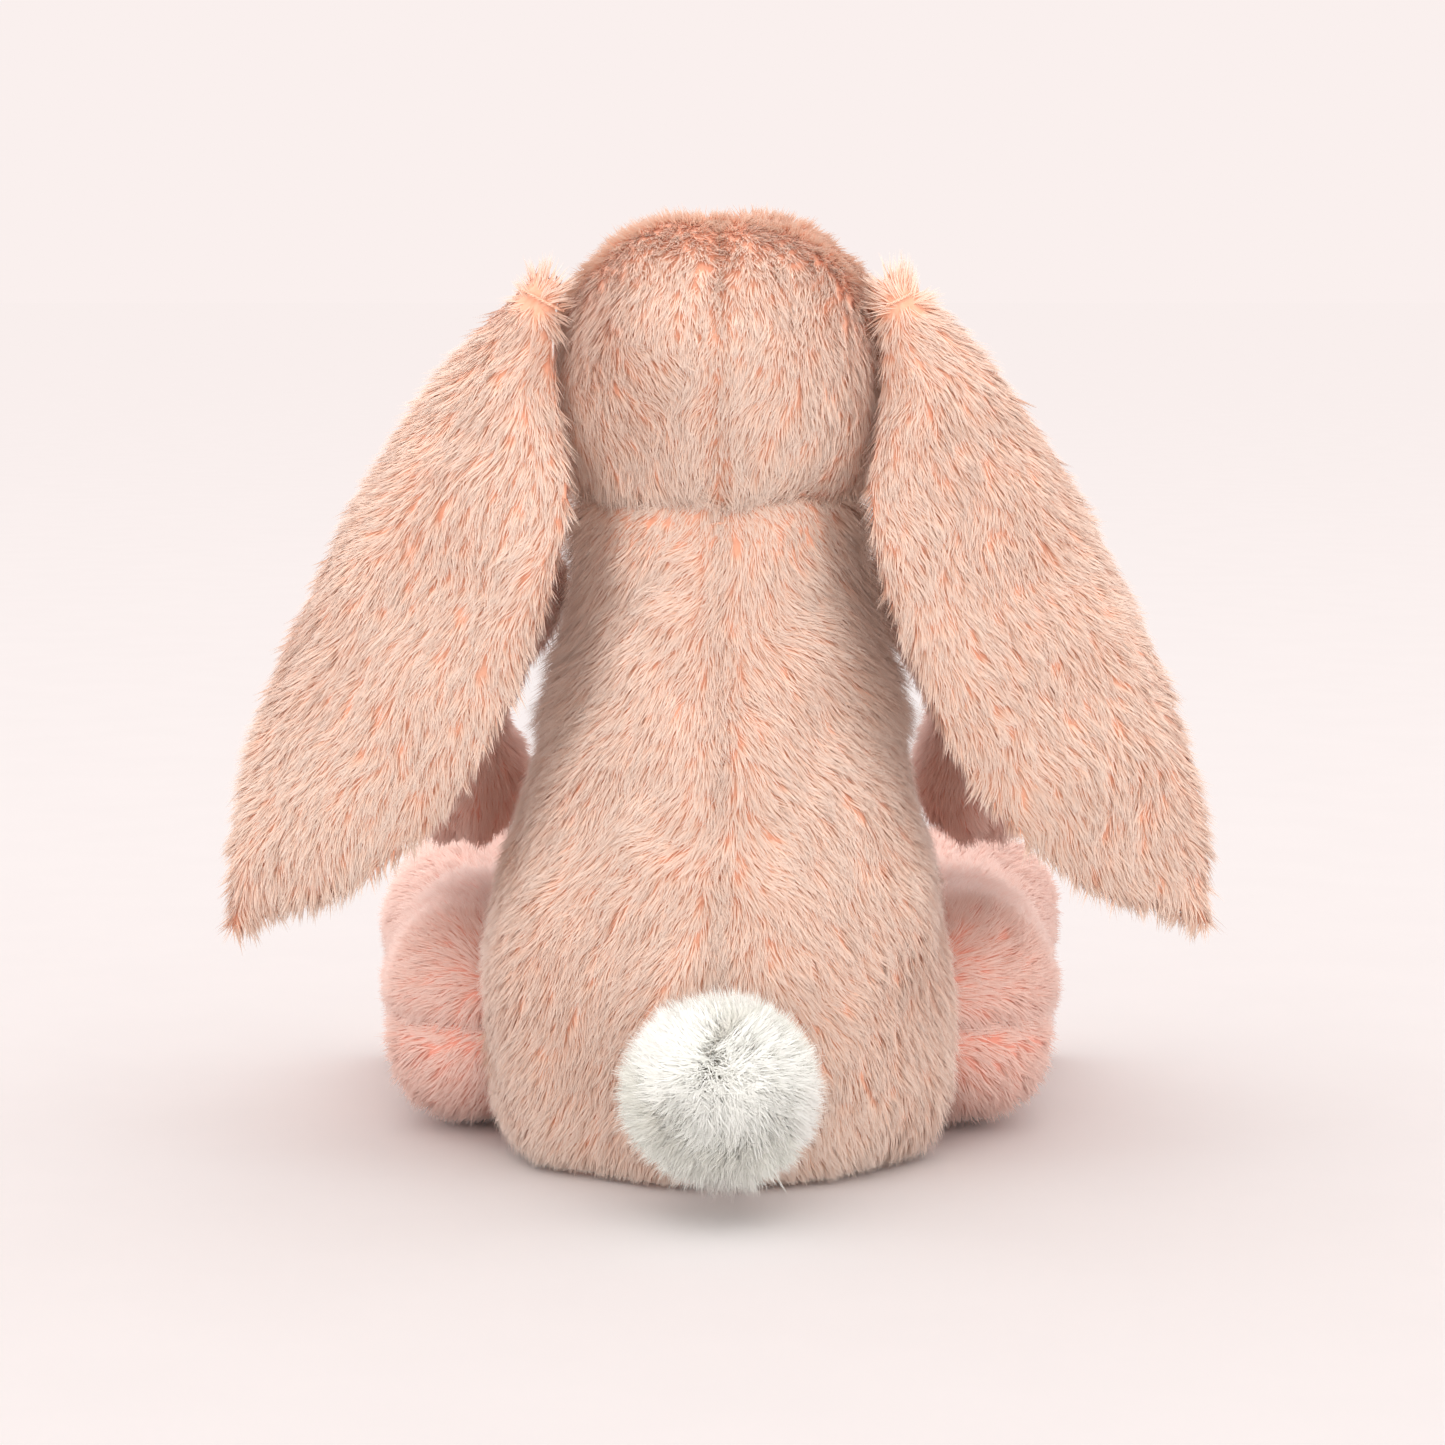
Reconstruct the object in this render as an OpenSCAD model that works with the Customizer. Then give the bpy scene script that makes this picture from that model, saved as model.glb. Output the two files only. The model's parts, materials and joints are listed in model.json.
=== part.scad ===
// Stuffed rabbit that sits upright, with long hanging ears and a round tail.
// It is sewn from plush panels around loose fibre filling, with weight beads in the seat and feet.
// Millimetres, +Z up. The rabbit faces -Y, so its left side is +X.
// The origin is on the floor, in the middle of the flat seat, in the plane of symmetry.

/* [Body] */
// Height of the neck seam above the floor
neck_z = 138; // [134:1:142]
// Widest part of the body, near the seat
body_w = 103; // [98:1:106]
// Depth of the body from belly to back
body_d = 84; // [80:1:88]
// Thickness of a plush panel, backing and laid pile together
panel_t = 3; // [2.4:0.2:3.4]

/* [Head] */
// Height of the head from the neck seam to the crown
head_h = 63; // [60:1:66]
// Width of the head across the cheeks
head_w = 74; // [71:1:75]
// Depth of the head from the muzzle to the back
head_d = 74; // [70:1:76]
// Diameter of a bead eye
eye_d = 9; // [7:0.5:10]

/* [Ears] */
// Length of an ear from its root to its tip
ear_len = 150; // [138:1:154]
// Width of an ear at its widest
ear_w = 52; // [46:1:54]
// Thickness of an ear at its middle
ear_t = 9; // [8:0.5:9.5]

/* [Arms] */
// Length of an arm between the centres of its two round ends
arm_len = 57; // [52:1:58]
// Diameter of a paw
paw_d = 31; // [28:1:31]

/* [Legs] */
// Length of a leg from the hip joint to the sole
leg_len = 76; // [70:1:84]
// Diameter of a leg at the hip
hip_d = 50; // [46:1:50]
// Height of a foot
foot_d = 55; // [52:1:56]

/* [Tail] */
// Diameter of the sewn tail ball, without its long pile
tail_d = 34; // [30:1:36]

/* [Hidden] */
// Clear space between pieces that move past each other
gap = 0.5;
// Clear space between a panel and the filling behind it
fill_gap = 0.9;
fill_in = panel_t + fill_gap;
thread_r = 0.5;
bead_r = 2.2;

// Neck: the filling domes up into the head, and the head turns on that dome
pivot_z = neck_z - 20;
neck_half = 0.58 * body_w / 2;
neck_r = norm([neck_half, neck_z - pivot_z]);

// Hip joints, shoulder joints and the roots of the ears, on the left side
hip_r = hip_d / 2;
hip_in = 16;
leg_gap = 1.2;
hip_wide = 1.16;
hip = [hip_in + hip_wide * hip_r, -30, hip_r + 1];
shoulder = [neck_half + 16.5, -13, neck_z - 17];
ear_root = [0.45 * head_w + 1.2, 13, neck_z + 0.76 * head_h];
tail_at = [0, body_d / 2 + 3 + tail_d / 2, 9 + tail_d / 2];

// Height, half width, front depth and back depth of the body, as parts of neck_z, body_w and body_d
body_knots = [for (k = [
    [0.00, 0.74, 0.80, 0.78],
    [0.07, 0.93, 0.90, 0.95],
    [0.25, 1.00, 0.93, 1.02],
    [0.42, 0.94, 0.96, 0.97],
    [0.58, 0.81, 0.94, 0.87],
    [0.74, 0.67, 0.83, 0.75],
    [0.88, 0.60, 0.71, 0.68],
    [0.99, 0.57, 0.65, 0.65]])
    [k[0] * neck_z, k[1] * body_w / 2, k[2] * body_d / 2, k[3] * body_d / 2]];

// The same four sizes for the head, from the neck seam to the crown
head_knots = [for (k = [
    [0.012, 0.79, 0.74, 0.74],
    [0.19, 0.95, 0.98, 0.84],
    [0.40, 1.00, 1.08, 0.89],
    [0.61, 0.96, 1.01, 0.87],
    [0.81, 0.77, 0.77, 0.72],
    [0.94, 0.47, 0.46, 0.43],
    [1.00, 0.03, 0.03, 0.03]])
    [neck_z + k[0] * head_h, k[1] * head_w / 2, k[2] * head_d / 2, k[3] * head_d / 2]];

// Distance from the ear's middle line to its inner and outer edges, from root to tip
ear_inner = [for (k = [0.05, 0.22, 0.49, 0.60, 0.64, 0.64, 0.56, 0.36, 0.02]) k * ear_w];
ear_outer = [for (k = [0.08, 0.21, 0.30, 0.34, 0.35, 0.34, 0.30, 0.19, 0.02]) k * ear_w];

function mix(a, b, t) = a + (b - a) * t;
function unit(v) = v / norm(v);

// Smooth curve through evenly spaced knots, t from 0 to 1
function curve(knots, t) =
    let (last = len(knots) - 1, s = min(t * last, last - 1e-6), i = floor(s), f = s - i,
         a = knots[max(i - 1, 0)], b = knots[i], c = knots[i + 1], d = knots[min(i + 2, last)])
    0.5 * (2 * b + (c - a) * f + (2 * a - 5 * b + 4 * c - d) * f ^ 2 + (3 * b - a - 3 * c + d) * f ^ 3);

// Radius of an ellipse in the direction of angle a
function oval_r(a, half_x, half_y) = 1 / sqrt((cos(a) / half_x) ^ 2 + (sin(a) / half_y) ^ 2);

// Closed solid through rings of points, with a fan over each end
module loft(rings) {
    n = len(rings[0]);
    rows = len(rings);
    middle = function (ring) [for (k = [0:2]) [for (p = ring) 1] * [for (p = ring) p[k]] / n];
    points = concat([for (r = rings) each r], [middle(rings[0]), middle(rings[rows - 1])]);
    sides = [for (i = [0:rows - 2], j = [0:n - 1])
        let (a = i * n + j, b = i * n + (j + 1) % n, c = a + n, d = b + n)
        each [[a, d, b], [a, c, d]]];
    first = [for (j = [0:n - 1]) [j, (j + 1) % n, rows * n]];
    last = [for (j = [0:n - 1]) let (k = (rows - 1) * n) [k + (j + 1) % n, k + j, rows * n + 1]];
    polyhedron(concat(points), concat(sides, first, last));
}

// Sewn panel: the stretch of the surface at(t, a, depth) between two values of t and of a,
// made solid between the two depths
module panel(at, t_from, t_to, rows, a_from, a_to, columns, depth_out = 0, depth_in = panel_t) {
    n = columns;
    skin = function (depth) [for (i = [0:rows - 1], j = [0:n - 1])
        at(mix(t_from, t_to, i / (rows - 1)), mix(a_from, a_to, j / (n - 1)), depth)];
    m = rows * n;
    cells = [for (i = [0:rows - 2], j = [0:n - 2])
        let (a = i * n + j, b = a + 1, d = a + n, c = d + 1)
        each [[a, d, c], [a, c, b], [a + m, b + m, c + m], [a + m, c + m, d + m]]];
    ends = [for (j = [0:n - 2])
        let (a = j, b = j + 1, d = (rows - 1) * n + j, c = d + 1)
        each [[a, b, b + m], [a, b + m, a + m], [c, d, d + m], [c, d + m, c + m]]];
    edges = [for (i = [0:rows - 2])
        let (a = i * n, d = a + n, b = a + n - 1, c = b + n)
        each [[d, a, a + m], [d, a + m, d + m], [b, c, b + m], [c, c + m, b + m]]];
    polyhedron(concat(skin(depth_out), skin(depth_in)), concat(cells, ends, edges));
}

// Thread that follows a closed loop of points
module thread_loop(path, r = thread_r) {
    n = len(path);
    sides = 6;
    points = [for (i = [0:n - 1])
        let (along = unit(path[(i + 1) % n] - path[(i + n - 1) % n]),
             out = unit(cross(along, abs(along[2]) < 0.9 ? [0, 0, 1] : [1, 0, 0])),
             up = cross(out, along))
        each [for (k = [0:sides - 1])
            let (a = 360 * k / sides) path[i] + r * (cos(a) * out + sin(a) * up)]];
    faces = [for (i = [0:n - 1], k = [0:sides - 1])
        let (a = i * sides + k, b = i * sides + (k + 1) % sides,
             c = (i + 1) % n * sides + k, d = (i + 1) % n * sides + (k + 1) % sides)
        each [[a, b, d], [a, d, c]]];
    polyhedron(points, faces);
}

// Thread between two or more points, with rounded-off ends
module thread_line(path, r = thread_r) {
    n = len(path);
    loft([for (i = [0:n - 1])
        let (along = unit(path[min(i + 1, n - 1)] - path[max(i - 1, 0)]),
             out = unit(cross(along, abs(along[0]) < 0.9 ? [1, 0, 0] : [0, 1, 0])),
             up = cross(along, out))
        [for (k = [0:5]) path[i] + r * (cos(60 * k) * out + sin(60 * k) * up)]]);
}

// Height of the sphere about the neck pivot over a point
function neck_dome(x, y, r) = pivot_z + sqrt(max(r ^ 2 - x ^ 2 - y ^ 2, 0));

// Body surface. Below the hips' tops it is let in at both sides for the legs.
function hollow_y(z) =
    let (r = hip_r + leg_gap, dz = max(z - hip[2], 0))
    dz < r ? hip[1] + sqrt(r ^ 2 - dz ^ 2) : -1000;
body_at = function (t, a, depth)
    let (k = curve(body_knots, t),
         r = oval_r(a, k[1] - depth, (sin(a) < 0 ? k[2] : k[3]) - depth),
         side = (hip_in - leg_gap - depth) / max(abs(cos(a)), 0.001),
         back = -(hollow_y(k[0]) + depth) / max(-sin(a), 0.001),
         r_in = sin(a) < 0 ? min(r, max(side, back)) : r)
    [r_in * cos(a), r_in * sin(a), k[0]];
body_seam_a = atan2(hip[1] + hip_r + leg_gap, hip_in - leg_gap);

// Head surface. Its rim rests on the neck's dome.
head_middle = [0, 0, neck_z + 0.42 * head_h];
function head_ring(t, a) =
    let (k = curve(head_knots, t), r = oval_r(a, k[1], sin(a) < 0 ? k[2] : k[3]))
    [r * cos(a), r * sin(a), k[0]];
head_at = function (t, a, depth)
    let (p = head_ring(t, a), q = p - depth * unit(p - head_middle))
    [q[0], q[1], max(q[2], neck_dome(q[0], q[1], neck_r + gap))];

// Radius of a unit circle squared off towards its corners. A power of 2 leaves it round.
function squared(a, power) = (abs(cos(a)) ^ power + abs(sin(a)) ^ power) ^ (-1 / power);

// Limb surface around a bent middle line: a round root end, a tapering tube, then a round far end.
// The limb is a list: three points of the middle line, root radius, mid radius, far radius, far bulge,
// the power that squares its section off, and how much wider than high the root is
function limb_line(limb, f) = curve(limb[0], f);
function limb_at(limb, t, a, depth) =
    let (f = min(max(2 * t - 0.5, 0), 1),
         root_a = t < 0.25 ? mix(-88.5, 0, 4 * t) : 0,
         far_a = t > 0.75 ? mix(0, 88.5, 4 * t - 3) : 0,
         radius = curve([limb[1], limb[2], limb[3]], f) - depth,
         along = unit(limb_line(limb, min(f + 0.05, 1)) - limb_line(limb, max(f - 0.05, 0))),
         out = unit(cross(along, [0, 0, 1])),
         up = cross(out, along),
         wide = mix(limb[6], 1, f),
         over = sin(root_a) * radius + sin(far_a) * (radius * limb[4]),
         r = radius * cos(root_a) * cos(far_a))
    limb_line(limb, f) + over * along + r * squared(a, limb[5]) * (wide * cos(a) * out + sin(a) * up);
module limb_panel(limb, t_to, rows, a_from, a_to) {
    at = function (t, a, depth) limb_at(limb, t, a, depth);
    panel(at, 0, t_to, rows, a_from, a_to, 10);
}
module limb_filling(limb, t_from, t_to, rows) {
    loft([for (i = [0:rows - 1])
        [for (j = [0:15]) limb_at(limb, mix(t_from, t_to, i / (rows - 1)), 22.5 * j, fill_in)]]);
}

arm_way = [0.20, -0.58, -0.79];
arm = [[shoulder, shoulder + 0.52 * arm_len * (arm_way + [0.20, 0.10, -0.04]), shoulder + arm_len * arm_way],
       14, 12.8, paw_d / 2, 1, 2, 1];
foot_at = [hip[0] + 0.11 * leg_len, hip[1] - leg_len, foot_d / 2];
leg = [[hip, mix(hip, foot_at, 0.5) - [0, 0, 0.4], foot_at], hip_r, hip_r - 0.6, foot_d / 2, 0.2, 3.2, hip_wide];

// Ear sheet: t from root to tip, w from the outer edge (-1) to the inner edge (1), and height off the mid sheet
ear_lean = 26.6;
ear_turn = 27;
function ear_at(t, w, height) =
    let (down = [sin(ear_lean), 0, -cos(ear_lean)],
         in = cos(ear_turn) * [-cos(ear_lean), 0, -sin(ear_lean)] + [0, sin(ear_turn), 0],
         back = cross(down, in),
         across = w > 0 ? w * curve(ear_inner, t) : w * curve(ear_outer, t),
         cup = 3 * sin(180 * t) * (1 - w ^ 2))
    ear_root + t * ear_len * down + across * in + (cup + height) * back;
// Height of a layer, shrinking to nothing at the edges
function ear_puff(t, w) = max(sqrt(max(1 - w ^ 2, 0)), 0.12) * min(1, 0.55 + 2 * t) * min(1, 0.3 + 5 * (1 - t));

// ---- Head ----
module head_back_left() color("#E9C2AA") panel(head_at, 0, 1, 12, 8, 90, 9);
module head_back_right() color("#E9C2AA") mirror([1, 0, 0]) head_back_left();
module face_left_blank() panel(head_at, 0, 1, 12, -68, 8, 9);
module face_left() color("#EBC8B2") difference() {
    face_left_blank();
    eye_shank(1.2);
}
module face_right() color("#EBC8B2") mirror([1, 0, 0]) face_left();
module forehead() color("#EBC8B2") panel(head_at, 0, 1, 12, -112, -68, 6);
module head_filling() color("#F4F1EA") difference() {
    loft(concat(
        [for (f = [0.05, 0.4, 0.75]) [for (j = [0:23])
            let (p = head_at(0, 15 * j, fill_in), x = f * p[0], y = f * p[1])
            [x, y, neck_dome(x, y, neck_r + gap)]]],
        [for (i = [0:10]) [for (j = [0:23]) head_at(mix(0, 0.985, i / 10), 15 * j, fill_in)]]));
    eye_pocket();
    mirror([1, 0, 0]) eye_pocket();
}

// Eye axis, from the middle of the head out through the face panel
eye_out = unit([0.50, -0.84, 0.16]);
eye_turn = atan2(eye_out[1], eye_out[0]);
eye_rise = acos(eye_out[2]);
function eye_depth() = let (p = head_at(0.56, eye_turn, 0)) norm(p - head_middle);
module on_eye_axis() translate(head_middle) rotate([0, eye_rise, eye_turn]) children();
module eye_shank(r) on_eye_axis() translate([0, 0, eye_depth() - 12]) cylinder(r = r, h = 14, $fn = 24);
module eye_pocket() on_eye_axis() translate([0, 0, eye_depth() - 13]) cylinder(r = 5.6, h = 14, $fn = 24);
module eye_left() color("#17110F") {
    on_eye_axis() translate([0, 0, eye_depth() - 9.5]) cylinder(r = 1, h = 11, $fn = 24);
    on_eye_axis() translate([0, 0, eye_depth() + 1]) intersection() {
        sphere(d = eye_d, $fn = 32);
        cylinder(d = eye_d + 1, h = eye_d, $fn = 32);
    }
}
module eye_right() mirror([1, 0, 0]) eye_left();
module eye_washer() on_eye_axis() translate([0, 0, eye_depth() - panel_t - 3.4]) difference() {
    cylinder(r = 5, h = 1.2, $fn = 32);
    translate([0, 0, -1]) cylinder(r = 1.05, h = 4, $fn = 24);
}
module eye_washers() color("#E6E6E2") {
    eye_washer();
    mirror([1, 0, 0]) eye_washer();
}

// The muzzle is a padded patch on the face, and the nose and mouth lie on it
muzzle_t = 0.33;
function muzzle_puff(t, a) =
    let (r = min(norm([(t - muzzle_t) / 0.19, (a + 90) / 27]), 1))
    1.2 + 6 * (1 - r ^ 2);
function on_muzzle(t, a, lift) = head_at(t, a, -muzzle_puff(t, a) - lift);
module muzzle() color("#F3DCCB")
    panel(function (t, a, depth) depth == 1 ? on_muzzle(t, a, 0) : head_at(t, a, -0.3),
        0.17, 0.49, 8, -113, -67, 9, 1, 0);
module nose() color("#D98E86")
    panel(function (t, side, depth) on_muzzle(t, -90 + side * (2 + 70 * (t - 0.38)),
        0.35 + depth * (1.6 - 0.9 * side ^ 2)), 0.38, 0.45, 5, -1, 1, 7, 1, 0);
module mouth_thread() color("#B9695F")
    for (side = [-1, 1]) thread_line([for (i = [0:4])
        on_muzzle(0.35 - 0.05 * sin(40 * i), -90 + side * (0.9 + 2.6 * i), 0.7)], 0.45);

// ---- Ears ----
module ear_layer(low, high)
    panel(function (t, w, depth) ear_at(t, w, (depth == 1 ? high : low) * ear_puff(t, w)),
        0, 1, 15, -1, 1, 10, 1, 0);
module ear_back_left() color("#EAC5AD") ear_layer(1.5, ear_t / 2);
module ear_back_right() color("#EAC5AD") mirror([1, 0, 0]) ear_back_left();
module ear_lining_left() color("#F1D3C4") ear_layer(-ear_t / 2, -1.5);
module ear_lining_right() color("#F1D3C4") mirror([1, 0, 0]) ear_lining_left();
module ear_wadding_left() color("#F4F1EA")
    panel(function (t, w, depth) ear_at(t, w, 0.7 * depth * ear_puff(t, w)), 0.02, 0.97, 12, -0.93, 0.93, 8, 1, -1);
module ear_wadding_right() color("#F4F1EA") mirror([1, 0, 0]) ear_wadding_left();
module ear_thread_left() color("#E2B49A")
    thread_loop([for (a = [0:30:330])
        ear_at(0.05, 1.28 * cos(a), sin(a) * (ear_t / 2 * ear_puff(0.05, 0) + 1.5))], 0.4);
module ear_thread_right() mirror([1, 0, 0]) ear_thread_left();

// ---- Body ----
module body_back_left() color("#E7BFA6") panel(body_at, 0, 1, 13, body_seam_a, 90, 11);
module body_back_right() color("#E7BFA6") panel(body_at, 0, 1, 13, 90, 180 - body_seam_a, 11);
module belly() color("#EBC9B4") panel(body_at, 0, 1, 13, -180 - body_seam_a, body_seam_a, 16);
// The seat and the filling have their points where the side panels have theirs
panel_angles = concat([for (j = [0:9]) mix(body_seam_a, 90, j / 10)],
    [for (j = [0:9]) mix(90, 180 - body_seam_a, j / 10)],
    [for (j = [0:14]) mix(-180 - body_seam_a, body_seam_a, j / 15)]);
seat_ring = function (z) [for (a = panel_angles)
    let (p = body_at(0, a, panel_t + 0.3)) [p[0], p[1], z]];
module seat() color("#E4BCA4") loft([seat_ring(0), seat_ring(2.4)]);
// The filling narrows between the legs, in step with the panels round it
module body_filling() color("#F4F1EA") loft(concat(
    [for (i = [3:12]) [for (a = panel_angles) body_at(i / 12, a, fill_in + 0.6)]],
    [for (f = [0.97, 0.8, 0.55, 0.25, 0.04]) [for (a = panel_angles)
        let (p = body_at(1, a, fill_in + 0.6), x = f * p[0], y = f * p[1])
        [x, y, neck_dome(x, y, neck_r - 1.4)]]]));

// Cloth pouch of weight beads in the seat, open only at its filling spout
pouch_at = [0, 19, 13.5];
pouch_half = [0.30 * body_w, 0.19 * body_d, 9.5];
pouch_ring = function (a, depth) [for (b = [0:18:342])
    pouch_at + [(pouch_half[0] - depth) * cos(a) * cos(b), (pouch_half[1] - depth) * cos(a) * sin(b),
                (pouch_half[2] - depth) * sin(a)]];
module seat_pouch() color("#D9D4C8") loft(concat(
    [for (a = [-85:20:75]) pouch_ring(a, 0)],
    [for (a = [75:-20:-85]) pouch_ring(a, 0.8)]));
module seat_beads() color("#BFC4C8")
    for (x = [-4:4], y = [-2:2]) if ((x / 4.6) ^ 2 + (y / 2.4) ^ 2 < 1)
        translate(pouch_at + [4.7 * x, 4.6 * y, -2]) sphere(r = bead_r, $fn = 20);

// Ladder stitch that closes the centre-back seam, and the thread round the neck
module back_thread() color("#DCA98E")
    thread_line([for (i = [0:26])
        body_at(mix(0.42, 0.9, i / 26), 90 + (i % 2 == 0 ? 1.2 : -1.2), -0.7)]);
module neck_thread() color("#DCA98E")
    thread_loop([for (a = [0:12:348]) body_at(1, a, 1) + [0, 0, 0.6]], 0.45);

// ---- Arms ----
module arm_outer_left() color("#DDA68E") limb_panel(arm, 1, 15, -90, 90);
module arm_outer_right() color("#DDA68E") mirror([1, 0, 0]) arm_outer_left();
module arm_inner_left() color("#DDA68E") limb_panel(arm, 1, 15, 90, 270);
module arm_inner_right() color("#DDA68E") mirror([1, 0, 0]) arm_inner_left();
module arm_filling_left() color("#F4F1EA") limb_filling(arm, 0, 1, 14);
module arm_filling_right() color("#F4F1EA") mirror([1, 0, 0]) arm_filling_left();
module arm_thread_left() color("#DCA98E")
    translate([shoulder[0] - 13.4, shoulder[1], shoulder[2]]) rotate([0, 90, 0])
        rotate_extrude($fn = 36) translate([7, 0]) circle(r = thread_r, $fn = 10);
module arm_thread_right() mirror([1, 0, 0]) arm_thread_left();

// ---- Legs ----
module leg_upper_left() color("#DDA68E") limb_panel(leg, 0.86, 14, 0, 180);
module leg_upper_right() color("#DDA68E") mirror([1, 0, 0]) leg_upper_left();
module leg_lower_left() color("#DDA68E") limb_panel(leg, 0.86, 14, 180, 360);
module leg_lower_right() color("#DDA68E") mirror([1, 0, 0]) leg_lower_left();
module sole_left() color("#EBC9B4")
    loft([for (s = [[0.870, fill_in], [0.865, 0.6], [0.93, 0.2], [0.98, 0.1]])
        [for (j = [0:23]) limb_at(leg, s[0], 15 * j, s[1])]]);
module sole_right() color("#EBC9B4") mirror([1, 0, 0]) sole_left();
module leg_filling_left() color("#F4F1EA") limb_filling(leg, 0, 0.62, 10);
module leg_filling_right() color("#F4F1EA") mirror([1, 0, 0]) leg_filling_left();
module foot_beads_left() color("#BFC4C8")
    for (x = [-2:2], z = [-2:2], y = [0, 1]) if (norm([x, z]) < 2.5)
        translate(foot_at + [5.2 * x, 5 + 5.2 * y, 5.2 * z]) sphere(r = bead_r, $fn = 20);
module foot_beads_right() color("#BFC4C8") mirror([1, 0, 0]) foot_beads_left();

// ---- Tail ----
tail_ring = function (a, r) [for (b = [0:18:342])
    tail_at + [r * cos(a) * cos(b), -r * sin(a), r * cos(a) * sin(b)]];
module tail_cover() color("#F4F0E8") loft(concat(
    [for (a = [-84:14:70]) tail_ring(a, tail_d / 2)],
    [for (a = [70:-14:-84]) tail_ring(a, tail_d / 2 - 2.4)]));
module tail_filling() color("#FAF8F2") loft([for (a = [-84:14:84]) tail_ring(a, tail_d / 2 - 3.2)]);
module tail_thread() color("#E8E2D6")
    translate(tail_at - [0, sin(76) * tail_d / 2, 0]) rotate([90, 0, 0])
        rotate_extrude($fn = 30) translate([0.24 * tail_d / 2, 0]) circle(r = thread_r, $fn = 10);

head_back_left();
head_back_right();
face_left();
face_right();
forehead();
head_filling();
muzzle();
nose();
mouth_thread();
eye_left();
eye_right();
eye_washers();
ear_back_left();
ear_lining_left();
ear_wadding_left();
ear_thread_left();
ear_back_right();
ear_lining_right();
ear_wadding_right();
ear_thread_right();
body_back_left();
body_back_right();
belly();
seat();
body_filling();
seat_pouch();
seat_beads();
back_thread();
neck_thread();
arm_outer_left();
arm_inner_left();
arm_filling_left();
arm_thread_left();
arm_outer_right();
arm_inner_right();
arm_filling_right();
arm_thread_right();
leg_upper_left();
leg_lower_left();
sole_left();
leg_filling_left();
foot_beads_left();
leg_upper_right();
leg_lower_right();
sole_right();
leg_filling_right();
foot_beads_right();
tail_cover();
tail_filling();
tail_thread();
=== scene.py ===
"""Visual model of a sitting plush rabbit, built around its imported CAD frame.

Every sewn panel becomes a cloth skin that carries a real pile: each strand of fur is a small closed
spike, rooted in the cloth and combed along the panel. Sizes are in millimetres until a mesh is made.
"""

import json
import math

import bpy
import numpy as np
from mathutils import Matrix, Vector

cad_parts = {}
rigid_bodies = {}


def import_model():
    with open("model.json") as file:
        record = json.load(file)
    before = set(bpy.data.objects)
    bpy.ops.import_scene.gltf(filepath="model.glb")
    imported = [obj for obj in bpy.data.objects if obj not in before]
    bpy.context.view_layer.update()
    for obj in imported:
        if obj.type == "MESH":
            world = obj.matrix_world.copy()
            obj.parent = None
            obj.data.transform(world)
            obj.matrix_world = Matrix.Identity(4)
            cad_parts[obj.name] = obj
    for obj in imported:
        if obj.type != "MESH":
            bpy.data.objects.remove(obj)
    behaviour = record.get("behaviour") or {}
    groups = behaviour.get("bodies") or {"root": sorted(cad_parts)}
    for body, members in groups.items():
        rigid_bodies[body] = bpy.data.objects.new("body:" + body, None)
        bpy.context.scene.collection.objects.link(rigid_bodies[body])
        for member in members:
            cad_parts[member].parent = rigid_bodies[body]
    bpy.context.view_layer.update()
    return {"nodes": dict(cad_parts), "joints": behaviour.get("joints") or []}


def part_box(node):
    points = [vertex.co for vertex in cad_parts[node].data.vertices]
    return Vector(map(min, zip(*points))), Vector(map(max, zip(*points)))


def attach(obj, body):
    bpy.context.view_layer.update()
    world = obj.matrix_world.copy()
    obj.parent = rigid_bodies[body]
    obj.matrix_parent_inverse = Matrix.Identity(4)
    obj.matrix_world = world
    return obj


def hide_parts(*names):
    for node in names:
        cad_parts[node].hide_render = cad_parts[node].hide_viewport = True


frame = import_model()

MM = 0.001
JOINTS = {j["name"]: np.array(j["pos_m"]) / MM for j in frame["joints"]}


def cad_size(node, corner, axis):
    """One coordinate of a CAD node's box, in millimetres; corner 0 is the lowest."""
    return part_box(node)[corner][axis] / MM


# ---- Driving sizes, read off the frame ----
BODY_W = 2 * cad_size("body_back_left", 1, 0)
BODY_D = 2 * cad_size("body_back_left", 1, 1) / 1.02
NECK_Z = cad_size("belly", 1, 2) / 0.99
HEAD_W = 2 * cad_size("head_back_left", 1, 0)
HEAD_D = 2 * cad_size("head_back_left", 1, 1) / 0.89
HEAD_H = cad_size("head_back_left", 1, 2) - NECK_Z
HIP = JOINTS["leg_left_lower"]
SHOULDER = JOINTS["arm_left_raise"]
EAR_ROOT = JOINTS["ear_left_lift"]
NECK_PIVOT = JOINTS["neck_nod"]
TAIL_LOW, TAIL_HIGH = (np.array(c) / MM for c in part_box("tail_cover"))
TAIL_MIDDLE, TAIL_R = (TAIL_LOW + TAIL_HIGH) / 2, (TAIL_HIGH[2] - TAIL_LOW[2]) / 2
HIP_R = HIP[2] - 1
HIP_IN = 16.0  # from the middle of the body to the inner side of a leg
LEG_GAP = 1.2  # between a leg and the body's hollow
FLOOR_GAP = 0.3  # the least height above the floor of the cloth and of most of the pile
BODY_PILE = 5.7  # length of the pile on the body
HIP_WIDE = (HIP[0] - HIP_IN) / HIP_R
FOOT_D = cad_size("leg_upper_left", 1, 2)
ARM_LEN, ARM_R, PAW_R = 57.0, 14.0, 15.5
LEG_LEN = 76.0
EAR_LEN, EAR_W = 150.0, 52.0
EAR_HALF = 4.5  # half the thickness of an ear
EAR_SKIN = EAR_HALF - 0.9  # from the middle of an ear to the outside of its cloth
SKIN_DEPTH = 1.4  # how far the cloth lies under the CAD panel's outside, which stands for the laid pile
CLOTH = 0.9  # thickness of the cloth
THREAD_R = 0.35  # radius of the sewing thread
THREAD_STEP = 0.35  # from one point to the next along a thread
STITCHES = 27  # corners of the ladder stitch down the back
DOME_END = 1.1  # where the body's panels end, over the dome of the neck
LEG_END, SOLE_START = 0.86, 0.865  # where a leg's panels end and its sole starts
CLOTH_FRAMES, CLOTH_IN, CLOTH_OUT = 20, 0.3, 1.5  # length of the simulation, and how far it may move a point
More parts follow.
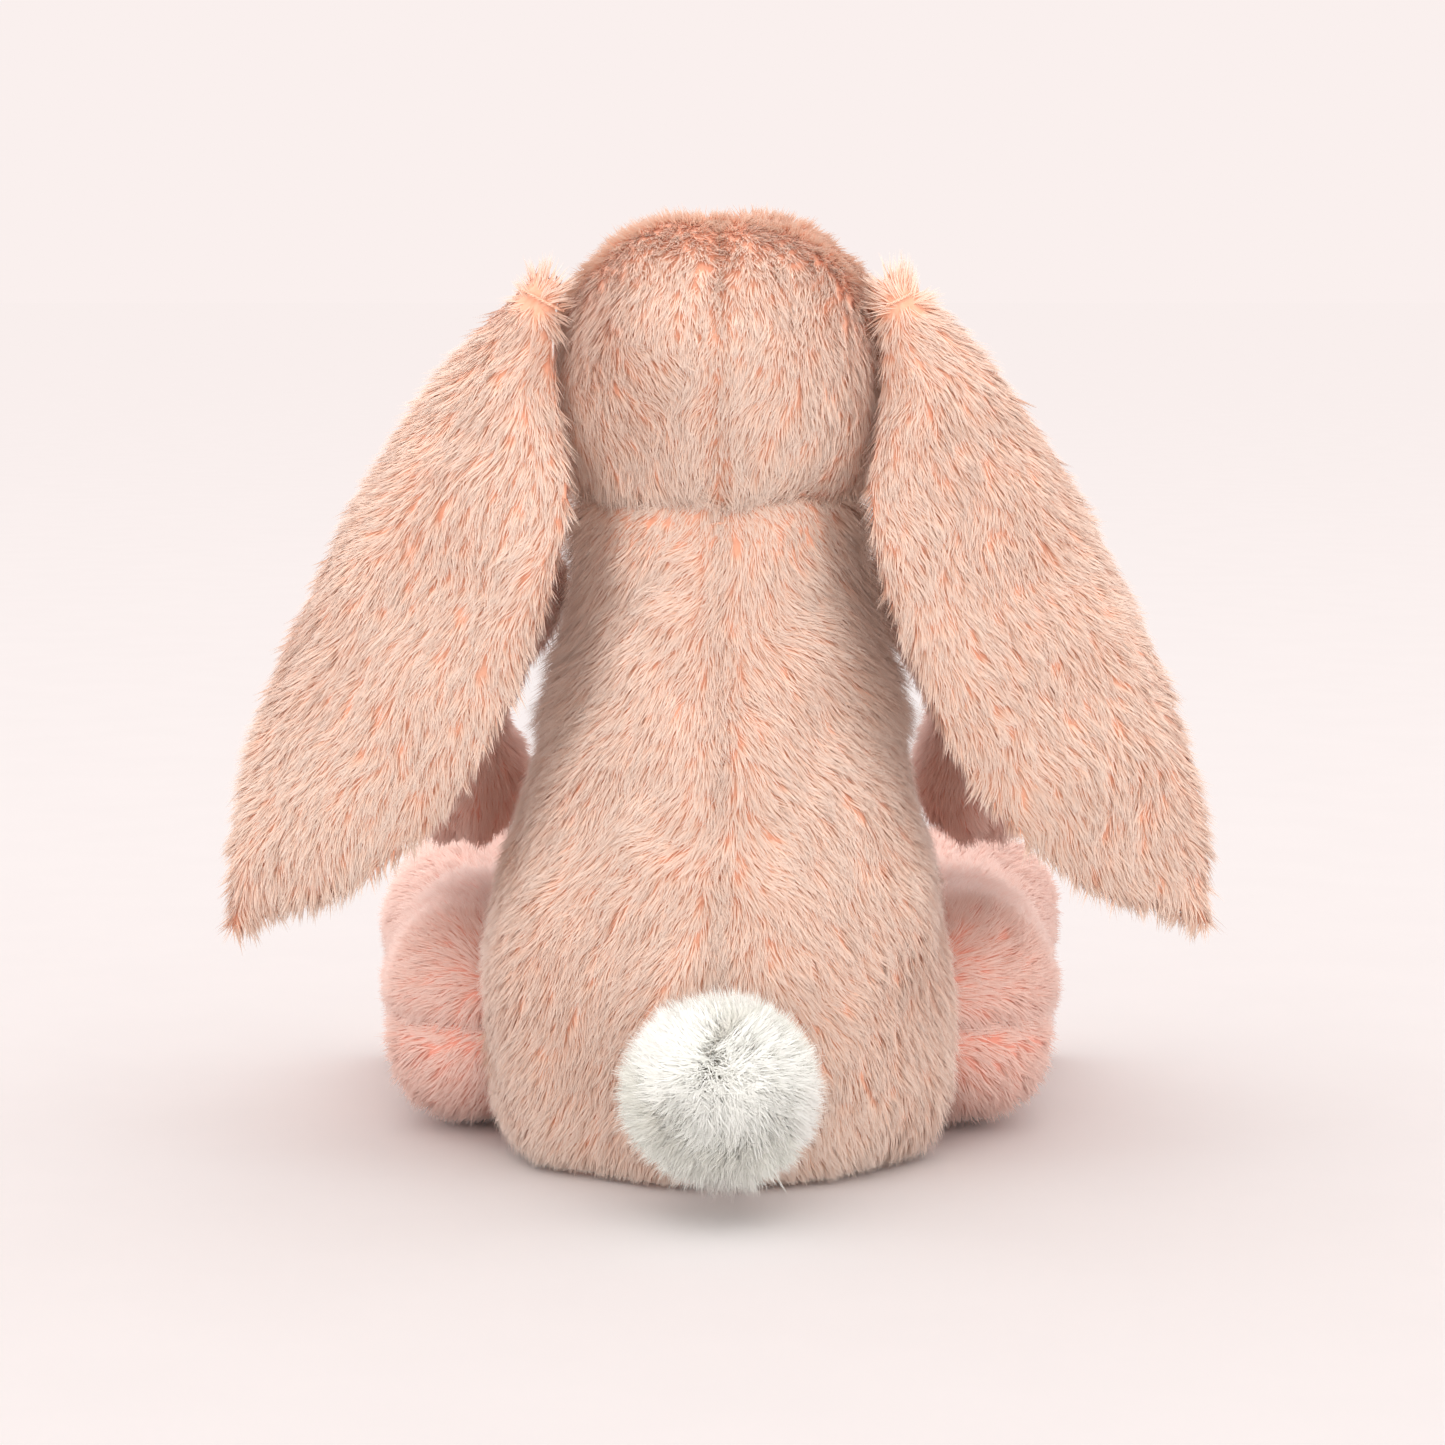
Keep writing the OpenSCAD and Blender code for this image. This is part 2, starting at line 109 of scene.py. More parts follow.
RIGHT_SEED = 500  # added to a panel's seed on the right side
# the exporter's own name for its bake map: it doesn't unwrap a piece that has one
FUR_MAP = "OFBake"  # name of the UV layer that holds each strand's tone and its place from root to tip

BODY_KNOTS = np.array([
    [0.00, 0.74, 0.80, 0.78], [0.07, 0.93, 0.90, 0.95], [0.25, 1.00, 0.93, 1.02], [0.42, 0.94, 0.96, 0.97],
    [0.58, 0.81, 0.94, 0.87], [0.74, 0.67, 0.83, 0.75], [0.88, 0.60, 0.71, 0.68], [0.99, 0.57, 0.65, 0.65],
]) * [NECK_Z, BODY_W / 2, BODY_D / 2, BODY_D / 2]
HEAD_KNOTS = np.array([
    [0.012, 0.79, 0.74, 0.74], [0.19, 0.95, 0.98, 0.84], [0.40, 1.00, 1.08, 0.89], [0.61, 0.96, 1.01, 0.87],
    [0.81, 0.77, 0.77, 0.72], [0.94, 0.47, 0.46, 0.43], [1.00, 0.03, 0.03, 0.03],
]) * [HEAD_H, HEAD_W / 2, HEAD_D / 2, HEAD_D / 2] + [NECK_Z, 0, 0, 0]
EAR_INNER = np.array([0.05, 0.22, 0.49, 0.60, 0.64, 0.64, 0.56, 0.36, 0.02])[:, None] * EAR_W
EAR_OUTER = np.array([0.08, 0.21, 0.30, 0.34, 0.35, 0.34, 0.30, 0.19, 0.02])[:, None] * EAR_W
HEAD_MIDDLE = np.array([0, 0, NECK_Z + 0.42 * HEAD_H])
MUZZLE_T = 0.33  # place of the muzzle's middle up the head
MUZZLE_HALF_T, MUZZLE_HALF_A = 0.16, 23  # half its height, and half its width in degrees
NECK_R = np.hypot(0.58 * BODY_W / 2, NECK_Z - NECK_PIVOT[2])
DOWN = np.array([0, 0, -1.0])


# ---- Small geometry helpers ----
def unit(v):
    return v / np.maximum(np.linalg.norm(v, axis=-1, keepdims=True), 1e-9)


def flat(v, n):
    """The part of v that lies in the surface with normal n, as a unit vector."""
    return unit(v - np.sum(v * n, -1, keepdims=True) * n)


def curve(knots, t):
    """Smooth curve through evenly spaced knots, t from 0 to 1."""
    last = len(knots) - 1
    s = np.clip(np.asarray(t, float) * last, 0, last - 1e-6)
    i = s.astype(int)
    f = (s - i)[..., None]
    a, b = knots[np.maximum(i - 1, 0)], knots[i]
    c, d = knots[i + 1], knots[np.minimum(i + 2, last)]
    return 0.5 * (2 * b + (c - a) * f + (2 * a - 5 * b + 4 * c - d) * f**2 + (3 * b - a - 3 * c + d) * f**3)


def smoothstep(low, high, x):
    f = np.clip((x - low) / (high - low), 0, 1)
    return f * f * (3 - 2 * f)


def waves(p, size, seed, count=7):
    """Smooth noise of about unit height at points p, with bumps about size millimetres across."""
    r = np.random.default_rng(seed)
    k = unit(r.normal(size=(count, 3))) * (math.pi / size) * r.uniform(0.6, 1.5, (count, 1))
    return np.sin(p @ k.T + r.uniform(0, 2 * math.pi, count)).sum(-1) / math.sqrt(count / 2)


def oval(a, half_x, half_y):
    return 1 / np.sqrt((np.cos(a) / half_x) ** 2 + (np.sin(a) / half_y) ** 2)


# ---- The forms under the fur: points at (t, a), t along the form and a round it, in degrees ----
def body_form(t, a):
    """The body, let in at both sides for the legs. Past t = 1 it turns in over the dome of the neck."""
    a = np.radians(a)
    k = curve(BODY_KNOTS, np.minimum(t, 1))
    z, half = k[..., 0], k[..., 1] - SKIN_DEPTH
    r = oval(a, half, np.where(np.sin(a) < 0, k[..., 2], k[..., 3]) - SKIN_DEPTH)
    reach = HIP_R + LEG_GAP
    rise = np.maximum(z - HIP[2], 0)
    hollow = np.where(rise < reach, HIP[1] + np.sqrt(np.maximum(reach**2 - rise**2, 0)), -1000)
    side = (HIP_IN - LEG_GAP - SKIN_DEPTH) / np.maximum(abs(np.cos(a)), 1e-3)
    back = -(hollow + SKIN_DEPTH) / np.maximum(-np.sin(a), 1e-3)
    r = np.where(np.sin(a) < 0, np.minimum(r, np.maximum(side, back)), r)
    over = np.maximum(t - 1, 0)
    r = r * (1 - 2 * over)
    dome = NECK_PIVOT[2] + np.sqrt(np.maximum((NECK_R - 0.8) ** 2 - r**2, 0))
    z = np.where(over > 0, np.maximum(dome, z), z)
    return np.stack([r * np.cos(a), r * np.sin(a), z * np.ones_like(r)], -1)


BODY_SEAM_A = math.degrees(math.atan2(HIP[1] + HIP_R + LEG_GAP, HIP_IN - LEG_GAP))


def head_form(t, a, lift=0.0):
    a = np.radians(a)
    k = curve(HEAD_KNOTS, t)
    r = oval(a, k[..., 1], np.where(np.sin(a) < 0, k[..., 2], k[..., 3]))
    p = np.stack([r * np.cos(a), r * np.sin(a), k[..., 0] * np.ones_like(r)], -1)
    return p + (np.asarray(lift)[..., None] - SKIN_DEPTH) * unit(p - HEAD_MIDDLE)


def muzzle_form(t, a):
    r2 = ((t - MUZZLE_T) / MUZZLE_HALF_T) ** 2 + ((a + 90) / MUZZLE_HALF_A) ** 2
    cheeks = 1.0 * np.cos(np.radians(np.clip((a + 90) / MUZZLE_HALF_A, -1, 1) * 360))
    return head_form(t, a, 1.2 + (6 - cheeks) * np.clip(1 - r2, 0, 1) ** 0.8)


def limb_form(limb, t, a):
    """A round root end, a tube round a bent middle line, and a round far end.

    power squares the section off, and wide is how much wider than high the root is.
    """
    a = np.radians(a)
    t, a = np.broadcast_arrays(t, a)
    line, radii, bulge, power, wide = limb
    f = np.clip(2 * t - 0.5, 0, 1)
    root = np.radians(np.where(t < 0.25, 88.5 * (4 * t - 1), 0))
    far = np.radians(np.where(t > 0.75, 88.5 * (4 * t - 3), 0))
    radius = curve(radii, f)[..., 0] - SKIN_DEPTH
    along = unit(curve(line, np.minimum(f + 0.05, 1)) - curve(line, np.maximum(f - 0.05, 0)))
    out = unit(np.cross(along, [0, 0, 1]))
    up = np.cross(out, along)
    over = np.sin(root) * radius + np.sin(far) * radius * bulge
    squared = (abs(np.cos(a)) ** power + abs(np.sin(a)) ** power) ** (-1 / power)
    r = (radius * np.cos(root) * np.cos(far) * squared)[..., None]
    wide = (wide + (1 - wide) * f)[..., None]
    across = wide * np.cos(a)[..., None] * out + np.sin(a)[..., None] * up
    return curve(line, f) + over[..., None] * along + r * across


ARM_WAY = np.array([0.20, -0.58, -0.79])
ARM = (np.array([SHOULDER, SHOULDER + 0.52 * ARM_LEN * (ARM_WAY + [0.20, 0.10, -0.04]),
                 SHOULDER + ARM_LEN * ARM_WAY]), np.array([[ARM_R], [ARM_R - 1.2], [PAW_R]]), 1.0, 2.0, 1.0)
FOOT = np.array([HIP[0] + 0.11 * LEG_LEN, HIP[1] - LEG_LEN, FOOT_D / 2])
LEG = (np.array([HIP, (HIP + FOOT) / 2 - [0, 0, 0.4], FOOT]),
       np.array([[HIP_R], [HIP_R - 0.6], [FOOT_D / 2]]), 0.2, 3.2, HIP_WIDE)


def arm_form(t, a):
    return limb_form(ARM, t, a)


def leg_form(t, a):
    return limb_form(LEG, t, a)


EAR_LEAN, EAR_TURN = math.radians(26.6), math.radians(27)
EAR_DOWN = np.array([math.sin(EAR_LEAN), 0, -math.cos(EAR_LEAN)])
EAR_IN = np.array([-math.cos(EAR_TURN) * math.cos(EAR_LEAN), math.sin(EAR_TURN),
                   -math.cos(EAR_TURN) * math.sin(EAR_LEAN)])
EAR_BACK = np.cross(EAR_DOWN, EAR_IN)


def ear_form(t, turn, height):
    """t from root to tip, turn from the outer edge (-90) to the inner edge (90) round one face."""
    turn = np.radians(turn)
    t, turn = np.broadcast_arrays(t, turn)
    w = np.sin(turn)
    across = w * np.where(w > 0, curve(EAR_INNER, t)[..., 0], curve(EAR_OUTER, t)[..., 0])
    cup = 3 * np.sin(math.pi * t) * (1 - w**2)
    puff = np.cos(turn) * np.minimum(1, 0.3 + 4 * t) * np.minimum(1, 0.3 + 5 * (1 - t))
    return (EAR_ROOT + t[..., None] * EAR_LEN * EAR_DOWN + across[..., None] * EAR_IN
            + (cup + height * puff)[..., None] * EAR_BACK)


def ear_back_form(t, turn):
    return ear_form(t, turn, EAR_SKIN)


def ear_lining_form(t, turn):
    return ear_form(t, turn, -EAR_SKIN)


def seat_form(t, a):
    p = (1 - t)[..., None] * body_form(0 * t, a)
    p[..., 2] = 0.9
    return p


def tail_form(t, a):
    t, a = np.broadcast_arrays(np.radians(t), np.radians(a))
    out = np.stack([np.cos(t) * np.cos(a), np.cos(t) * np.sin(a), np.sin(t)], -1)
    return TAIL_MIDDLE + (TAIL_R - 3.4) * out


# ---- Ways the pile lies ----
def comb_body(p, t, a):
    """Down, and away from the centre seam, most of all between the shoulders."""
    spread = 0.25 + 0.65 * smoothstep(45, 100, p[..., 2:3])
    out = np.zeros_like(p)
    out[..., :1] = spread * np.tanh(p[..., :1] / 6)
    return out + DOWN


def comb_head(p, t, a):
    """Away from the nose in front, back over the crown, and down behind."""
    nose = np.array([0, -45, NECK_Z + MUZZLE_T * HEAD_H])
    back = smoothstep(-24, 8, p[..., 1:2])
    return (1 - back) * unit(p - nose) + back * (DOWN + np.array([0, 1.2, 0]))


def comb_ear(p, t, turn):
    """Down the ear and out towards its edges, but standing up and out at the root, to hide it."""
    lean = (math.radians(23) * np.sin(np.radians(turn)))[..., None]
    root = 1 - smoothstep(0.0, 0.09, t)[..., None]
    return np.cos(lean) * EAR_DOWN + np.sin(lean) * EAR_IN - 1.6 * root * EAR_DOWN


def comb_lining(p, t, turn):
    """Down the ear and in from its edges, which the fur of the back covers."""
    lean = (math.radians(-24) * np.sin(np.radians(turn)))[..., None]
    return np.cos(lean) * EAR_DOWN + np.sin(lean) * EAR_IN


def comb_arm(p, t, a):
    return np.broadcast_to(ARM_WAY, p.shape)


def comb_leg(p, t, a):
    return np.broadcast_to(np.array([0.30, -0.90, -0.30]), p.shape)


def comb_seat(p, t, a):
    return p * [1, 1, 0]


def comb_sole(p, t, a):
    return np.broadcast_to(DOWN + 1e-3, p.shape)


def comb_tail(p, t, a):
    """Swirls that part and meet round the ball."""
    r = unit(p - TAIL_MIDDLE)
    swirl = np.stack([waves(p, 11, s) for s in (31, 32, 33)], -1)
    return flat(swirl, r)


# ---- Skins ----
def clothlike(points):
    """Blows the panels up a little, as sheets of cloth held along their edges, and gives each one's moves."""
    scene = bpy.context.scene
    sheets = []
    for p in points:
        rows, columns = p.shape[:2]
        index = np.arange(rows * columns).reshape(rows, columns)
        quads = np.stack([index[:-1, :-1], index[:-1, 1:], index[1:, 1:], index[1:, :-1]], -1).reshape(-1, 4)
        me = bpy.data.meshes.new("sheet")
        me.from_pydata((p.reshape(-1, 3) * MM).tolist(), [], quads.tolist())
        ob = bpy.data.objects.new("sheet", me)
        scene.collection.objects.link(ob)
        held = ob.vertex_groups.new(name="held")
        rim = np.concatenate([index[0], index[-1], index[:, 0], index[:, -1]])
        held.add(sorted(set(rim.tolist())), 1, "REPLACE")
        cloth = ob.modifiers.new("cloth", "CLOTH")
        cloth.settings.vertex_group_mass = "held"
        cloth.settings.use_pressure = True
        cloth.settings.uniform_pressure_force = 25
        cloth.settings.shrink_min = -0.01
        cloth.settings.tension_stiffness = 12
        cloth.settings.bending_stiffness = 0.3
        cloth.settings.effector_weights.gravity = 0
        cloth.point_cache.frame_end = CLOTH_FRAMES
        sheets.append(ob)
    for f in range(1, CLOTH_FRAMES + 1):
        scene.frame_set(f)
    moves = []
    for ob, p in zip(sheets, points):
        moved = ob.evaluated_get(bpy.context.evaluated_depsgraph_get()).data
        co = np.empty(p.size, np.float32)
        moved.vertices.foreach_get("co", co)
        n = grid_normals(p)
        outward = np.sum((co.reshape(p.shape) / MM - p) * n, -1, keepdims=True)
        moves.append(np.clip(outward, -CLOTH_IN, CLOTH_OUT) * n)
    for ob in sheets:
        me = ob.data
        bpy.data.objects.remove(ob)
        bpy.data.meshes.remove(me)
    scene.frame_set(1)
    return moves


class Panel:
    """One sewn panel: a grid of points with its normals and the way its pile lies.

    seams names the edges that are sewn and pulled in: "left" and "right" at the ends of a,
    "start" and "end" at the ends of t.
    """

    def __init__(self, node, body, slot, material, form, t, a, cells, comb, seed, seams=("left", "right"),
                 pinch=1.3, lumps=0.7, **pile):
        self.node, self.body, self.slot, self.material = node, body, slot, material
        self.form, self.t_range, self.a_range, self.cells = form, t, a, cells
        self.comb, self.seed, self.pile = comb, seed, pile
        self.seams, self.pinch, self.lumps = seams, pinch, lumps
        self.relief = None

    def grid(self, rows, columns):
        ts, as_ = np.linspace(*self.t_range, rows)[:, None], np.linspace(*self.a_range, columns)[None, :]
        ts, as_ = np.broadcast_arrays(ts, as_)
        return ts, as_, self.form(ts, as_)

    def coarse(self):
        return self.grid(self.cells[0] // 2, self.cells[1] // 2)[2]

    def shape(self, mirror=False, seed=0):
        """Fills in the points p, normals n, lie of the pile d, and distance from the nearest seam."""
        ts, as_, p = self.grid(*self.cells)
        if self.relief is not None:
            p = p + stretch(self.relief, self.cells)
        ways = {"left": (p, 1), "right": (p[:, ::-1], 1), "start": (p, 0), "end": (p[::-1], 0)}
        edge = np.full(p.shape[:2], 100.0)
        for seam in self.seams:
            run = travelled(*ways[seam])
            run = run[:, ::-1] if seam == "right" else run[::-1] if seam == "end" else run
            edge = np.minimum(edge, run)
        n = grid_normals(p)
        p = p + n * (self.lumps * waves(p, 22, self.seed + seed)[..., None]
                     * smoothstep(0, 12, edge)[..., None])
        p = p - n * (self.pinch * np.exp(-((edge / 3.0) ** 2)))[..., None]
        p[..., 2] = np.maximum(p[..., 2], FLOOR_GAP)
        n = grid_normals(p)
        d = flat(self.comb(p, ts, as_), n)
        if mirror:
            flip = np.array([-1, 1, 1])
            p, n, d = (v[:, ::-1] * flip for v in (p, n, d))
            edge = edge[:, ::-1]
        self.p, self.n, self.d, self.edge = p, n, d, edge
        return self


def travelled(p, axis):
    """Distance travelled across a grid from its first row or column."""
    step = np.linalg.norm(np.diff(p, axis=axis), axis=-1)
    zero = np.zeros_like(np.take(step, [0], axis))
    return np.concatenate([zero, np.cumsum(step, axis)], axis)


def grid_normals(p):
    return unit(np.cross(np.gradient(p, axis=1), np.gradient(p, axis=0)))


def stretch(field, cells):
    """Spreads the values of a coarse grid over a finer one."""
    i = np.linspace(0, field.shape[0] - 1.001, cells[0])
    j = np.linspace(0, field.shape[1] - 1.001, cells[1])
    i0, j0 = i.astype(int), j.astype(int)
    u, v = (i - i0)[:, None, None], (j - j0)[None, :, None]
    low = (1 - u) * field[np.ix_(i0, j0)] + u * field[np.ix_(i0 + 1, j0)]
    high = (1 - u) * field[np.ix_(i0, j0 + 1)] + u * field[np.ix_(i0 + 1, j0 + 1)]
    return (1 - v) * low + v * high


def shell(skin):
    """The cloth itself as a closed thin solid: points, quads and normals."""
    rows, columns = skin.p.shape[:2]
    m = rows * columns
    points = np.concatenate([skin.p.reshape(-1, 3), (skin.p - CLOTH * skin.n).reshape(-1, 3)])
    index = np.arange(m).reshape(rows, columns)
    outer = np.stack([index[:-1, :-1], index[:-1, 1:], index[1:, 1:], index[1:, :-1]], -1).reshape(-1, 4)
    rim = np.concatenate([index[0, :-1], index[:-1, -1], index[-1, :0:-1], index[:0:-1, 0]])
    after = np.roll(rim, -1)
    walls = np.stack([after, rim, rim + m, after + m], -1)
    normals = np.concatenate([skin.n.reshape(-1, 3), -skin.n.reshape(-1, 3)])
    return points, np.concatenate([outer, outer[:, ::-1] + m, walls]), normals


def scatter(p, count, rng):
    """Places spread evenly over a grid's area, count to the square millimetre: cells, and where in them."""
    first = np.linalg.norm(np.cross(p[:-1, 1:] - p[:-1, :-1], p[1:, :-1] - p[:-1, :-1]), axis=-1)
    second = np.linalg.norm(np.cross(p[1:, 1:] - p[1:, :-1], p[1:, 1:] - p[:-1, 1:]), axis=-1)
    total = np.cumsum(0.5 * (first + second).ravel())
    n = int(total[-1] * count)
    cell = np.searchsorted(total, (np.arange(n) + rng.random(n)) / n * total[-1])
    return np.divmod(np.minimum(cell, first.size - 1), first.shape[1]), rng.random(n), rng.random(n)


def at(field, cells, u, v):
    i, j = cells
    u, v = (x.reshape(x.shape + (1,) * (field.ndim - 2)) for x in (u, v))
    return ((1 - u) * (1 - v) * field[i, j] + (1 - u) * v * field[i, j + 1]
            + u * (1 - v) * field[i + 1, j] + u * v * field[i + 1, j + 1])


# ---- Pile ----
# A short strand is a straight three-sided spike: a ring of three points at the root and a tip.
# A long strand has a second ring, where it bends. The faces on its underside come first.
SHORT_STRAND = np.array([[0, 1, 3], [1, 2, 3], [2, 0, 3], [0, 2, 1]])
LONG_STRAND = np.array([[0, 1, 4], [0, 4, 3], [3, 4, 6], [1, 2, 5], [1, 5, 4], [2, 0, 3], [2, 3, 5],
                        [4, 5, 6], [5, 3, 6], [0, 2, 1]])


def pile(skin, rng, length=5.6, clumps=0.60, strands=8, width=0.38, spread=1.15, lift=25, stray=0.15,
         gather=0.55, droop=0.04, tint=0.6, floor=None, fringe=0.75, reach=None, bend=0):
    """Strands in clumps whose tips draw together. Returns points, UVs, faces and a normal for each corner.

    lift is the angle off the cloth; with a bend, strands are long ones that turn by it towards the cloth.
    reach gives a limit on length for each root, for pile that would run into something.
    """
    cells, u, v = scatter(skin.p, clumps, rng)
    o, n, d = (at(f, cells, u, v) for f in (skin.p, skin.n, skin.d))
    edge = at(skin.edge, cells, u, v)
    n = unit(n)
    count = len(o)
    turn = stray * rng.normal(size=count) + 0.22 * waves(o, 15, 11) + 0.16 * waves(o, 5, 12)
    d = flat(d, n)
    d = np.cos(turn)[:, None] * d + np.sin(turn)[:, None] * np.cross(n, d)
    side = np.cross(n, d)
    clump_len = length * (1 + 0.10 * rng.normal(size=count))
    clump_len = clump_len * (fringe + (1 - fringe) * smoothstep(0, 6, edge))
    if reach is not None:
        clump_len = np.minimum(clump_len, reach(o))
    clump_lift = lift + rng.normal(size=count) * 4 + 3.5 * waves(o, 7, 13) + 9 * np.exp(-((edge / 4) ** 2))
    clump_tint = tint + 0.08 * rng.normal(size=count) + 0.08 * waves(o, 30, 14)

    who = np.repeat(np.arange(count), strands)
    m = len(who)
    angle, radius = rng.random(m) * 2 * math.pi, spread * np.sqrt(rng.random(m))
    off = (1.4 * radius * np.cos(angle))[:, None] * d[who] + (radius * np.sin(angle))[:, None] * side[who]
    turn = 0.10 * rng.normal(size=m)
    way = np.cos(turn)[:, None] * d[who] + np.sin(turn)[:, None] * side[who]
    up = n[who]
    cross = np.cross(up, way)
    size = (clump_len[who] * (0.70 + 0.45 * rng.random(m)))[:, None]
    high = np.radians(clump_lift[who] + 4 * rng.normal(size=m))[:, None]
    low = high + math.radians(bend)
    root = o[who] + off - 0.4 * up
    middle = root + 0.5 * size * (np.cos(low) * way + np.sin(low) * up) - 0.4 * gather * off
    tip = middle + 0.5 * size * (np.cos(high) * way + np.sin(high) * up) - 0.4 * gather * off
    tip = tip + droop * size * DOWN
    w = (width * (0.75 + 0.5 * rng.random(m)))[:, None] / 2
    rings = [root - w * cross, root + w * cross, root + 0.5 * w * up]
    if bend:
        rings += [middle - 0.9 * w * cross, middle + 0.9 * w * cross, middle + 0.45 * w * up]
    points = np.stack(rings + [tip], 1)
    if floor is not None:  # nothing goes through the floor
        points[..., 2] = np.maximum(points[..., 2], floor + 0.4 * rng.random((m, 1)))
    shade = np.clip(clump_tint[who] + 0.06 * rng.normal(size=m), 0.02, 0.98)
    return strand_mesh(points, shade, up, way, cross)


def strand_mesh(points, shade, up, way, cross):
    """Faces, UVs and corner normals for strands of four or seven points, as pile returns them.

    The underside of each strand takes a normal that points along it, as light comes a little through fur.
    """
    m, count = points.shape[:2]
    rings = (count - 1) // 3
    strand, under = (LONG_STRAND, 3) if rings == 2 else (SHORT_STRAND, 1)
    normals = unit(np.stack([up - 0.15 * cross, up + 0.15 * cross, up] * rings + [up + 0.1 * way], 1))
    along = np.array([0.03] * 3 + [0.5] * (count - 4) + [0.97])
    across = np.array([-1, 1, 0] * rings + [0]) * 0.003
    uv = np.stack([shade[:, None] + across, np.broadcast_to(along, (m, count))], -1)
    faces = (strand[None] + count * np.arange(m)[:, None, None]).reshape(-1, 3)
    corners = normals[:, strand]
    corners[:, :under] = unit(0.7 * way - 0.5 * up)[:, None, None]
    return points.reshape(-1, 3), uv.reshape(-1, 2), faces, corners.reshape(-1, 3)


def corner_values(values, faces):
    """Values of points, repeated for each corner of each face."""
    return values[np.concatenate([f.ravel() for f in faces])]


def make_mesh(name, points, faces, normals, uv, material):
    """faces is a list of index arrays, each of triangles or of quads.

    normals holds one row for each corner of each face, and uv one pair for each point, or nothing.
    """
    me = bpy.data.meshes.new(name)
    me.vertices.add(len(points))
    me.vertices.foreach_set("co", (points * MM).astype(np.float32).ravel())
    loops = np.concatenate([f.ravel() for f in faces]).astype(np.int32)
    sizes = np.concatenate([np.full(len(f), f.shape[1]) for f in faces])
    me.loops.add(len(loops))
    me.loops.foreach_set("vertex_index", loops)
    me.polygons.add(len(sizes))
    me.polygons.foreach_set("loop_start", (np.cumsum(sizes) - sizes).astype(np.int32))
    me.update(calc_edges=True)
    if uv is not None:
        layer = me.uv_layers.new(name=FUR_MAP)
        layer.uv.foreach_set("vector", uv[loops].astype(np.float32).ravel())
    me.normals_split_custom_set(normals.astype(np.float32))
    me.materials.append(material)
    ob = bpy.data.objects.new(name, me)
    bpy.context.scene.collection.objects.link(ob)
    return ob


def claim(ob, body, slot, *nodes):
    """Fixes a new piece to its body and lets it stand for its CAD nodes."""
    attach(ob, body)
    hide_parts(*nodes)


def plush(panel, side=""):
    """A sewn panel with its pile, standing for the CAD node of the same panel."""
    right = side == "right"
    node = panel.node + ("_" + side if side else "")
    body = panel.body if panel.body in ("head", "torso", "tail") else panel.body + "_" + side
    seed = RIGHT_SEED if right else 0
    skin = panel.shape(right, seed)
    rng = np.random.default_rng(panel.seed + seed)
    points, quads, normals = shell(skin)
    hairs, hair_uv, faces, corners = pile(skin, rng, **panel.pile)
    # The cloth takes colours near the root end of the fur's ramp: painted shade in the gaps between strands.
    uv = np.stack([rng.uniform(0.3, 0.7, len(points)), rng.uniform(0.10, 0.22, len(points))], -1)
    ob = make_mesh(node + "_plush", np.concatenate([points, hairs]), [quads, faces + len(points)],
                   np.concatenate([normals[quads].reshape(-1, 3), corners]), np.concatenate([uv, hair_uv]),
                   panel.material)
    claim(ob, body, panel.slot, node)


# ---- Materials ----
def new_material(name, **settings):
    """A Principled material with the given socket values. Returns it with a maker of linked nodes."""
    mat = bpy.data.materials.new(name)
    mat.use_nodes = True
    shader = mat.node_tree.nodes["Principled BSDF"]
    for socket, value in settings.items():
        shader.inputs[socket.replace("_", " ")].default_value = value
    return mat, mat.node_tree.nodes, mat.node_tree.links, shader


def ramp_node(nodes, *stops):
    ramp = nodes.new("ShaderNodeValToRGB")
    elements = ramp.color_ramp.elements
    while len(elements) < len(stops):
        elements.new(0.5)
    for e, (place, colour) in zip(elements, stops):
        e.position = place
        e.color = (*colour, 1)
    return ramp


def fur_material(name, root, mid, tip, dark=(0.80, 0.66, 0.61)):
    """Colour runs from root to tip along V, and from darker to paler clumps along U. The darker, more
    saturated root end is painted shade in the gaps between strands.
    """
    mat, nodes, links, shader = new_material(name, Roughness=0.7, Specular_IOR_Level=0.2, Sheen_Weight=0.3,
                                             Sheen_Roughness=0.5, Sheen_Tint=(1.0, 0.86, 0.83, 1))
    uv = nodes.new("ShaderNodeUVMap")
    uv.uv_map = FUR_MAP
    split = nodes.new("ShaderNodeSeparateXYZ")
    links.new(uv.outputs["UV"], split.inputs["Vector"])
    # The root stop is painted shade: the gaps between strands, darker and more saturated than the tips.
    along = ramp_node(nodes, (0.0, root), (0.42, mid), (1.0, tip))
    links.new(split.outputs["Y"], along.inputs["Fac"])
    tones = ramp_node(nodes, (0.0, dark), (0.75, (1.0, 1.0, 1.0)))
    links.new(split.outputs["X"], tones.inputs["Fac"])
    mix = nodes.new("ShaderNodeMix")
    mix.data_type = "RGBA"
    mix.blend_type = "MULTIPLY"
    mix.inputs["Factor"].default_value = 1
    links.new(along.outputs["Color"], mix.inputs["A"])
    links.new(tones.outputs["Color"], mix.inputs["B"])
    links.new(mix.outputs["Result"], shader.inputs["Base Color"])
    return mat


def mottled(name, dark, light, scale, bump=0.0, **settings):
    """Two close colours broken up by fine noise, which also raises the surface."""
    mat, nodes, links, shader = new_material(name, **settings)
    noise = nodes.new("ShaderNodeTexNoise")
    noise.inputs["Scale"].default_value = scale
    noise.inputs["Detail"].default_value = 4
    place = nodes.new("ShaderNodeTexCoord")
    links.new(place.outputs["Object"], noise.inputs["Vector"])
    ramp = ramp_node(nodes, (0.35, dark), (0.65, light))
    links.new(noise.outputs["Fac"], ramp.inputs["Fac"])
    links.new(ramp.outputs["Color"], shader.inputs["Base Color"])
    if bump:
        raised = nodes.new("ShaderNodeBump")
        raised.inputs["Strength"].default_value = bump
        raised.inputs["Distance"].default_value = 0.0005
        links.new(noise.outputs["Fac"], raised.inputs["Height"])
        links.new(raised.outputs["Normal"], shader.inputs["Normal"])
    return mat
